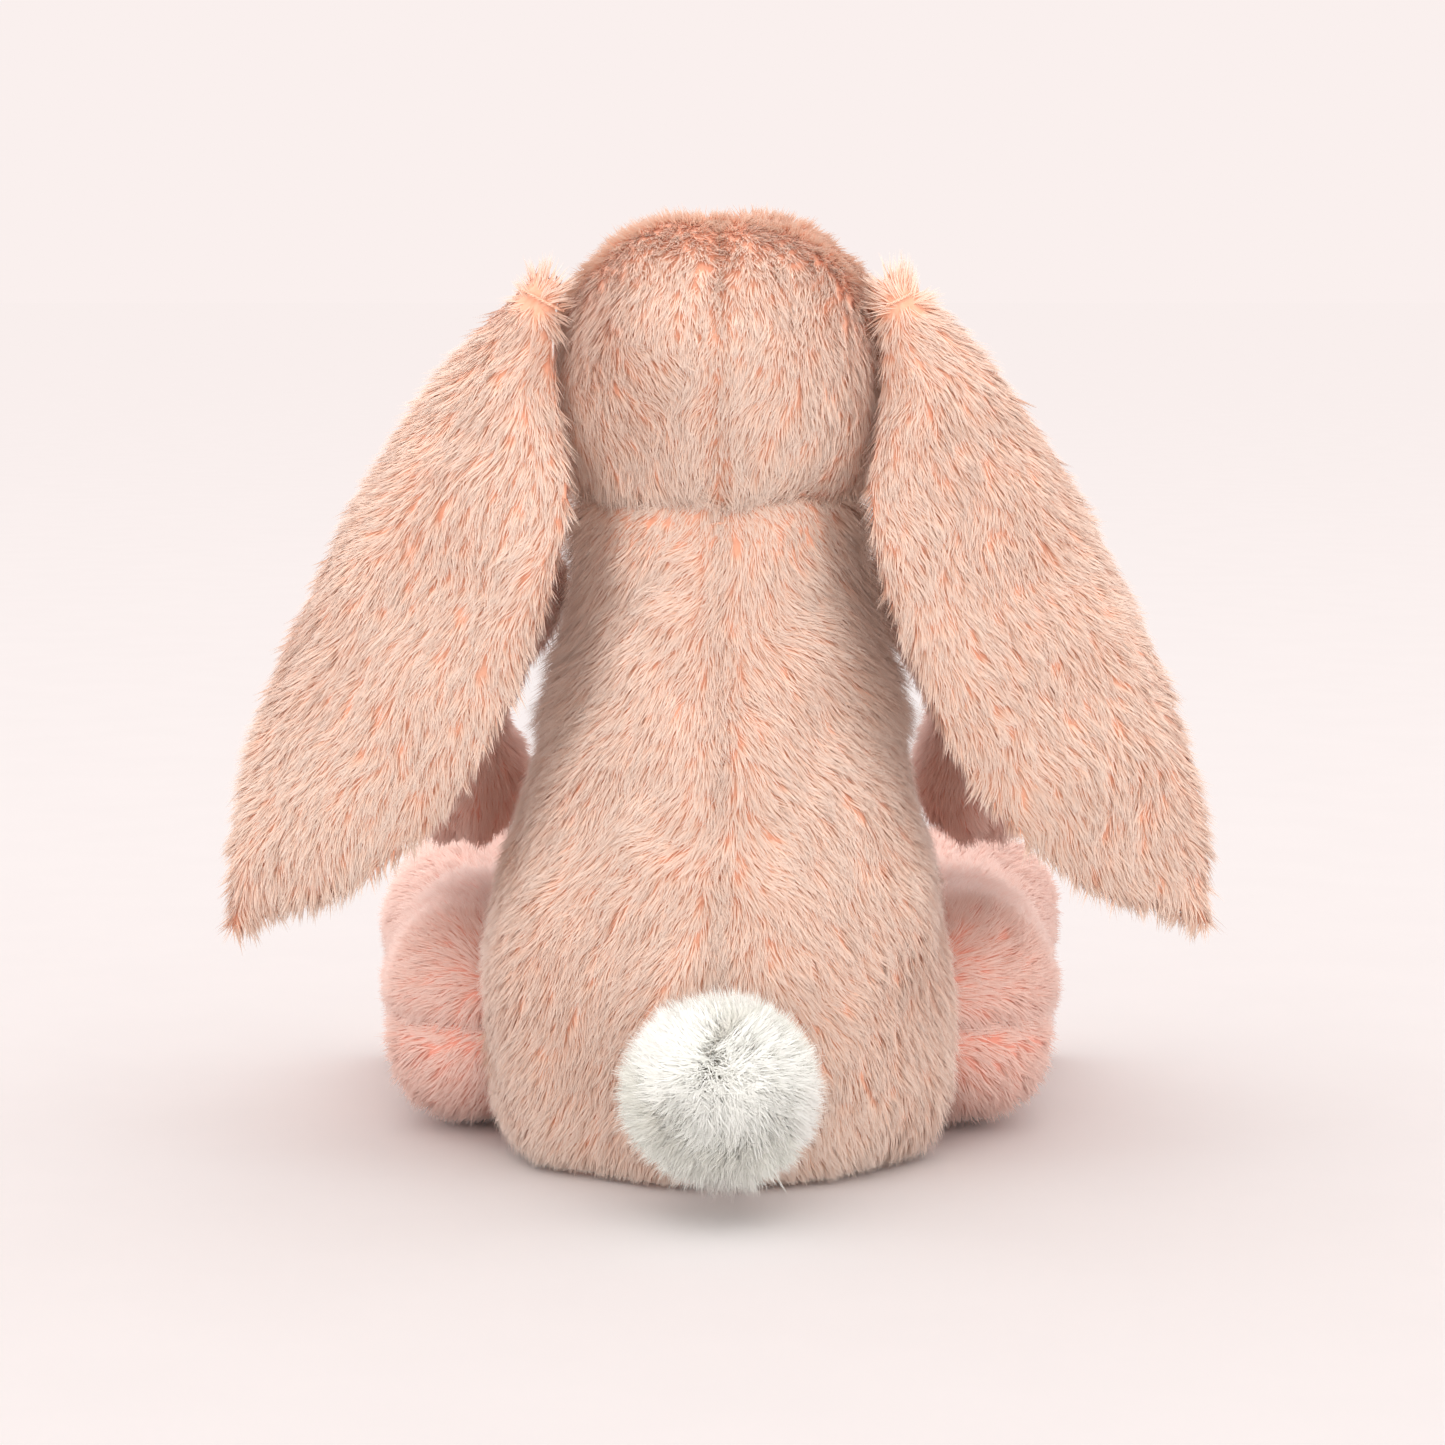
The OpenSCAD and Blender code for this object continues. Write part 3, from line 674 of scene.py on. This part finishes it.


# The first colour of each fur is its root, darker and more saturated than the tip: painted shade in the gaps
# between strands.
peach = fur_material("peach_fur", (0.74, 0.30, 0.17), (0.74, 0.51, 0.39), (0.72, 0.63, 0.56))
blush = fur_material("blush_fur", (0.74, 0.25, 0.17), (0.73, 0.45, 0.37), (0.74, 0.57, 0.51))
pale = fur_material("pale_short_fur", (0.86, 0.50, 0.37), (0.84, 0.68, 0.57), (0.84, 0.74, 0.67))
ivory = fur_material("ivory_tail_fur", (0.86, 0.81, 0.70), (0.84, 0.84, 0.79), (0.84, 0.85, 0.81),
                     (0.95, 0.93, 0.90))
thread = mottled("peach_thread", (0.62, 0.32, 0.21), (0.78, 0.48, 0.35), 900, 0.4, Roughness=0.6)
rose_thread = mottled("rose_thread", (0.42, 0.11, 0.10), (0.58, 0.20, 0.17), 900, 0.4, Roughness=0.45)
fibre = mottled("polyester_fibre", (0.80, 0.78, 0.74), (0.93, 0.92, 0.89), 260, 0.6, Roughness=0.9)
pouch = mottled("cotton_pouch", (0.60, 0.56, 0.48), (0.72, 0.68, 0.60), 700, 0.5, Roughness=0.85)
beads = mottled("weight_beads", (0.46, 0.50, 0.52), (0.60, 0.64, 0.66), 120, 0.0, Roughness=0.35)
bead_eye = mottled("bead_eye", (0.004, 0.003, 0.003), (0.012, 0.007, 0.005), 60, 0.0, Roughness=0.06,
                   Coat_Weight=0.6, Coat_Roughness=0.03)
washer = mottled("washer_plastic", (0.70, 0.70, 0.67), (0.80, 0.80, 0.77), 150, 0.0, Roughness=0.4)


# ---- Panels ----
def beside_body(p):
    """Short pile on the part of a leg that turns in the body's hollow."""
    hidden = smoothstep(52, 46, abs(p[:, 0])) * smoothstep(-48, -38, p[:, 1])
    return 2.0 + 6 * (1 - hidden)


def body_reach(p):
    """Short pile in the hollows that the legs turn in and under the head, and long pile beside the arms."""
    hollow = smoothstep(2, -4, p[:, 1]) * smoothstep(56, 50, p[:, 2]) * smoothstep(12, 14, abs(p[:, 0]))
    nape = smoothstep(129, 134, p[:, 2]) * smoothstep(26, 20, abs(p[:, 0]))
    shoulder = smoothstep(88, 104, p[:, 2]) * smoothstep(20, 28, abs(p[:, 0]))
    shoulder = shoulder * smoothstep(20, 12, abs(p[:, 1]))
    return (BODY_PILE + 6.3 * shoulder) * (1 - 0.7 * hollow) * (1 - 0.4 * nape)


def beside_tail(p):
    """Shorter pile on the side of the tail that faces the body."""
    return 6.4 + 0.3 * np.maximum(p[:, 1] - TAIL_MIDDLE[1] + TAIL_R, 0)


def side_panels():
    """The panels that come in pairs, as the left one of each."""
    round_all = (360, 0)
    yield Panel("head_back", "head", "plush", peach, head_form, (0.0, 1), (7.5, 90.5), (34, 32), comb_head, 1,
                ("left", "right", "start"))
    yield Panel("face", "head", "plush", peach, head_form, (0.0, 1), (-68.5, 8.5), (34, 30), comb_head, 2,
                ("left", "right", "start"), length=5.2)
    yield Panel("body_back", "torso", "plush", peach, body_form, (0, DOME_END), (BODY_SEAM_A - 1, 91.5),
                (64, 44), comb_body, 3, floor=FLOOR_GAP, length=12, reach=body_reach)
    yield Panel("arm_outer", "arm", "limb_plush", blush, arm_form, (0, 1), (90, -90),
                (44, 22), comb_arm, 5, pinch=1.2, lumps=0.4)
    yield Panel("arm_inner", "arm", "limb_plush", blush, arm_form, (0, 1), (270, 90),
                (44, 22), comb_arm, 6, pinch=1.2, lumps=0.3, clumps=0.4)
    yield Panel("leg_upper", "leg", "limb_plush", blush, leg_form, (0, LEG_END), (180, 0),
                (50, 34), comb_leg, 7, ("left", "right", "end"), pinch=1.2, lumps=0.6, reach=beside_body)
    yield Panel("leg_lower", "leg", "limb_plush", blush, leg_form, (0, LEG_END), (360, 180),
                (50, 34), comb_leg, 8, ("left", "right", "end"), pinch=1.2, lumps=0.4, clumps=0.4,
                floor=FLOOR_GAP, reach=beside_body)
    yield Panel("sole", "leg", "short_plush", pale, leg_form, (SOLE_START, 1), round_all,
                (14, 60), comb_sole, 12, ("start",), pinch=1.0, lumps=0.4, length=3.2, floor=FLOOR_GAP)
    yield Panel("ear_back", "ear", "plush", peach, ear_back_form, (0, 1),
                (106, -106), (64, 34), comb_ear, 9, (), lumps=0.25, clumps=0.56)
    yield Panel("ear_lining", "ear", "short_plush", pale, ear_lining_form, (0, 1),
                (-76, 76), (64, 30), comb_lining, 10, (), lumps=0.25, length=4.0)


def middle_panels():
    yield Panel("forehead", "head", "plush", peach, head_form, (0.0, 1), (-112.5, -67.5),
                (34, 16), comb_head, 20, ("left", "right", "start"), length=5.0)
    yield Panel("muzzle", "head", "short_plush", pale, muzzle_form,
                (MUZZLE_T - MUZZLE_HALF_T, MUZZLE_T + MUZZLE_HALF_T),
                (-90 - MUZZLE_HALF_A, -90 + MUZZLE_HALF_A), (24, 30), comb_head, 23,
                ("left", "right", "start", "end"), pinch=0.8, lumps=0.1, length=3.0, width=0.36, clumps=0.7)
    yield Panel("belly", "torso", "plush", peach, body_form, (0, DOME_END), (-180 - BODY_SEAM_A, BODY_SEAM_A),
                (64, 56), comb_body, 21, floor=FLOOR_GAP, clumps=0.42, length=12, reach=body_reach)
    yield Panel("seat", "torso", "plush", peach, seat_form, (0, 0.97), (360, 0), (20, 72), comb_seat, 22, (),
                lumps=0.1, length=3.0, floor=0.15, clumps=0.2, lift=8)
    yield Panel("tail_cover", "tail", "tail_plush", ivory, tail_form, (-86, 86), (0, 360),
                (30, 60), comb_tail, 30, (), lumps=0.3, length=7.4, width=0.22, lift=60, bend=24,
                clumps=2.6, strands=10, spread=1.3, gather=0.2, stray=0.8, droop=0.02,
                floor=FLOOR_GAP, tint=0.8, reach=beside_tail)


sides, middles = list(side_panels()), list(middle_panels())
blown = [p for p in sides + middles if p.node not in ("seat", "tail_cover", "sole", "muzzle")]
for panel, move in zip(blown, clothlike([p.coarse() for p in blown])):
    panel.relief = move
for panel in sides:
    plush(panel, "left")
    plush(panel, "right")
for panel in middles:
    plush(panel)


# ---- Threads, nose and eyes ----
def tubes(paths, radius, ring=6):
    """Closed round tubes that follow lists of points, as one mesh."""
    points, quads, caps, normals = [], [], [], []
    start = 0
    turn = np.linspace(0, 2 * math.pi, ring, endpoint=False)
    for path in paths:
        path = np.asarray(path, float)
        along = unit(np.gradient(path, axis=0))
        side = unit(np.cross(along, [0.31, 0.17, 0.93]))
        up = np.cross(along, side)
        spoke = (np.cos(turn)[None, :, None] * side[:, None] + np.sin(turn)[None, :, None] * up[:, None])
        r = radius * np.sqrt(np.clip(1 - np.linspace(-1, 1, len(path)) ** 8, 0.05, 1))[:, None, None]
        points.append((path[:, None] + r * spoke).reshape(-1, 3))
        normals.append(spoke.reshape(-1, 3))
        i, j = np.meshgrid(np.arange(len(path) - 1), np.arange(ring), indexing="ij")
        k = (j + 1) % ring
        quads.append(np.stack([i * ring + j, i * ring + k, (i + 1) * ring + k, (i + 1) * ring + j], -1)
                     .reshape(-1, 4) + start)
        last = start + (len(path) - 1) * ring
        fan = np.arange(1, ring - 1)
        caps.append(np.stack([start + 0 * fan, start + fan + 1, start + fan], -1))
        caps.append(np.stack([last + 0 * fan, last + fan, last + fan + 1], -1))
        start += len(path) * ring
    return np.concatenate(points), [np.concatenate(quads), np.concatenate(caps)], np.concatenate(normals)


def twisted(path, radius, pitch=1.6):
    """Two plies of thread wound round each other along a path."""
    path = np.asarray(path, float)
    run = travelled(path, 0)
    count = int(run[-1] / THREAD_STEP)
    fine = np.linspace(0, run[-1], count)
    middle = np.stack([np.interp(fine, run, path[:, k]) for k in range(3)], -1)
    along = unit(np.gradient(middle, axis=0))
    side = unit(np.cross(along, [0.31, 0.17, 0.93]))
    up = np.cross(side, along)
    q = (2 * math.pi * fine / pitch)[:, None]
    return [middle + 0.5 * radius * (np.cos(q + s) * side + np.sin(q + s) * up) for s in (0, math.pi)]


def thread_piece(node, body, slot, material, paths, radius):
    plies = [ply for path in paths for ply in twisted(path, radius)]
    points, faces, normals = tubes(plies, 0.6 * radius, 5)
    ob = make_mesh(node + "_twist", points, faces, corner_values(normals, faces), None, material)
    claim(ob, body, slot, node)


def on_body(t, a, depth):
    p = body_form(np.array(t, float), np.array(a, float))
    return p - depth * unit(p * [1, 1, 0])


def on_muzzle(t, a, lift=0.0):
    p = muzzle_form(np.asarray(t, float), np.asarray(a, float))
    return p + np.asarray(lift)[..., None] * unit(p - HEAD_MIDDLE)


def build_threads():
    stitches = np.arange(STITCHES)
    back = on_body(0.42 + 0.48 * stitches / (STITCHES - 1), 90 + np.where(stitches % 2 == 0, 1.4, -1.4), 1.6)
    thread_piece("back_thread", "torso", "thread", thread, [back], THREAD_R)
    around = np.arange(0, 361, 6)
    thread_piece("neck_thread", "torso", "thread", thread, [on_body(np.full(61, 1.0), around, 0.5)], THREAD_R)
    for side, flip in (("left", 1), ("right", -1)):
        turn = np.radians(np.arange(0, 361, 15))
        root = curve(EAR_INNER, 0.03)[0] + 1.2
        loop = (EAR_ROOT + 0.03 * EAR_LEN * EAR_DOWN + root * np.cos(turn)[:, None] * EAR_IN
                + 3.0 * np.sin(turn)[:, None] * EAR_BACK)
        thread_piece("ear_thread_" + side, "ear_" + side, "thread", thread, [loop * [flip, 1, 1]], THREAD_R)
        across = np.stack([0 * turn - 13.2, 3.6 * np.cos(turn), 3.6 * np.sin(turn)], -1)
        loop = (SHOULDER + across) * [flip, 1, 1]
        thread_piece("arm_thread_" + side, "torso", "thread", thread, [loop], THREAD_R)
    smile = []
    for s in (-1, 1):
        q = np.linspace(0, 1, 14)
        smile.append(on_muzzle(MUZZLE_T + 0.02 - 0.085 * np.sin(q * math.pi * 0.62), -90 + s * 11 * q, 1.1))
    q = np.linspace(0, 1, 8)
    smile.append(on_muzzle(MUZZLE_T + 0.055 - 0.04 * q, -90 + 0 * q, 1.1))
    thread_piece("mouth_thread", "head", "mouth_thread", rose_thread, smile, 0.55)


def build_nose():
    """Satin stitches laid side by side over a small padded triangle."""
    paths = []
    for s in np.linspace(-1, 1, 23):
        top, low = MUZZLE_T + 0.135 - 0.02 * s * s, MUZZLE_T + 0.055 + 0.065 * abs(s) ** 1.3
        q = np.linspace(0, 1, 9)
        lift = 1.3 + 1.7 * np.sin(math.pi * q) ** 0.7 * math.sqrt(max(1 - s * s * 0.9, 0))
        a = -90 + s * (5.2 + 3.4 * (1 - q))
        paths.append(on_muzzle(top + (low - top) * q, a, lift))
    points, faces, normals = tubes(paths, 0.36, 6)
    ob = make_mesh("nose_satin", points, faces, corner_values(normals, faces), None, rose_satin)
    claim(ob, "head", "nose", "nose")


rose_satin = mottled("rose_satin", (0.55, 0.20, 0.17), (0.70, 0.30, 0.26), 1200, 0.2, Roughness=0.35)
build_threads()
build_nose()


# ---- Better materials for the CAD nodes that stay ----
FINISH = {"filling": fibre, "wadding": fibre, "pouch": pouch, "beads": beads, "eye_left": bead_eye,
          "eye_right": bead_eye, "washers": washer, "thread": thread}
for node, ob in frame["nodes"].items():
    for word, mat in FINISH.items():
        if word in node and ob.type == "MESH":
            for slot in ob.material_slots:
                slot.material = mat


# ---- Floor, light and camera ----
BACKDROP = (0.956, 0.871, 0.855)


def make_stage():
    """A wide pale floor that runs out to a backdrop of the same colour."""
    half = 20.0
    me = bpy.data.meshes.new("floor")
    me.from_pydata([(x, y, 0) for x, y in ((-half, -half), (half, -half), (half, half), (-half, half))],
                   [], [(0, 1, 2, 3)])
    me.materials.append(mottled("floor_paper", (0.985, 0.985, 0.985), (0.995, 0.995, 0.995), 30, 0.0,
                                Roughness=1.0, Specular_IOR_Level=0.0))
    ob = bpy.data.objects.new("floor", me)
    bpy.context.scene.collection.objects.link(ob)
    return ob


def area_light(name, place, size, power, lit):
    """A round soft light on the pieces in the collection lit, so that the floor keeps the backdrop's tone."""
    light = bpy.data.lights.new(name, "AREA")
    light.shape = "DISK"
    light.size = size
    light.energy = power
    ob = bpy.data.objects.new(name, light)
    ob.location = place
    target = Vector((0, 0, 0.1))
    ob.rotation_euler = (target - Vector(place)).to_track_quat("-Z", "Y").to_euler()
    ob.light_linking.receiver_collection = lit
    bpy.context.scene.collection.objects.link(ob)


def make_camera(distance=0.85, elevation=6.5, aim_z=0.0927, lens=99.8):
    camera = bpy.data.cameras.new("camera")
    camera.lens = lens
    camera.sensor_width = 36
    ob = bpy.data.objects.new("camera", camera)
    aim = Vector((-0.0006, 0, aim_z))
    e = math.radians(elevation)
    ob.location = aim + distance * Vector((0, math.cos(e), math.sin(e)))
    ob.rotation_euler = (aim - ob.location).to_track_quat("-Z", "Y").to_euler()
    bpy.context.scene.collection.objects.link(ob)
    bpy.context.scene.camera = ob


toy = bpy.data.collections.new("toy")
for ob in bpy.context.scene.objects:
    toy.objects.link(ob)
floor = make_stage()
stage = bpy.data.collections.new("stage")
stage.objects.link(floor)
area_light("key", (-0.15, 1.5, 0.55), 1.0, 9.5, toy)
area_light("front", (0.3, -1.5, 0.6), 1.2, 16, toy)
area_light("top", (0.1, 0.3, 1.6), 1.2, 16, toy)
area_light("left", (1.2, 0.7, 0.25), 1.0, 10, toy)
area_light("right", (-1.2, 0.7, 0.25), 1.0, 10, toy)
area_light("floor", (0, 0.6, 2.2), 3.0, 3.6, stage)
world = bpy.data.worlds.new("studio")
world.use_nodes = True
world.node_tree.nodes["Background"].inputs["Color"].default_value = (*BACKDROP, 1)
world.node_tree.nodes["Background"].inputs["Strength"].default_value = 1.0
bpy.context.scene.world = world
bpy.context.scene.view_settings.view_transform = "Standard"
make_camera()
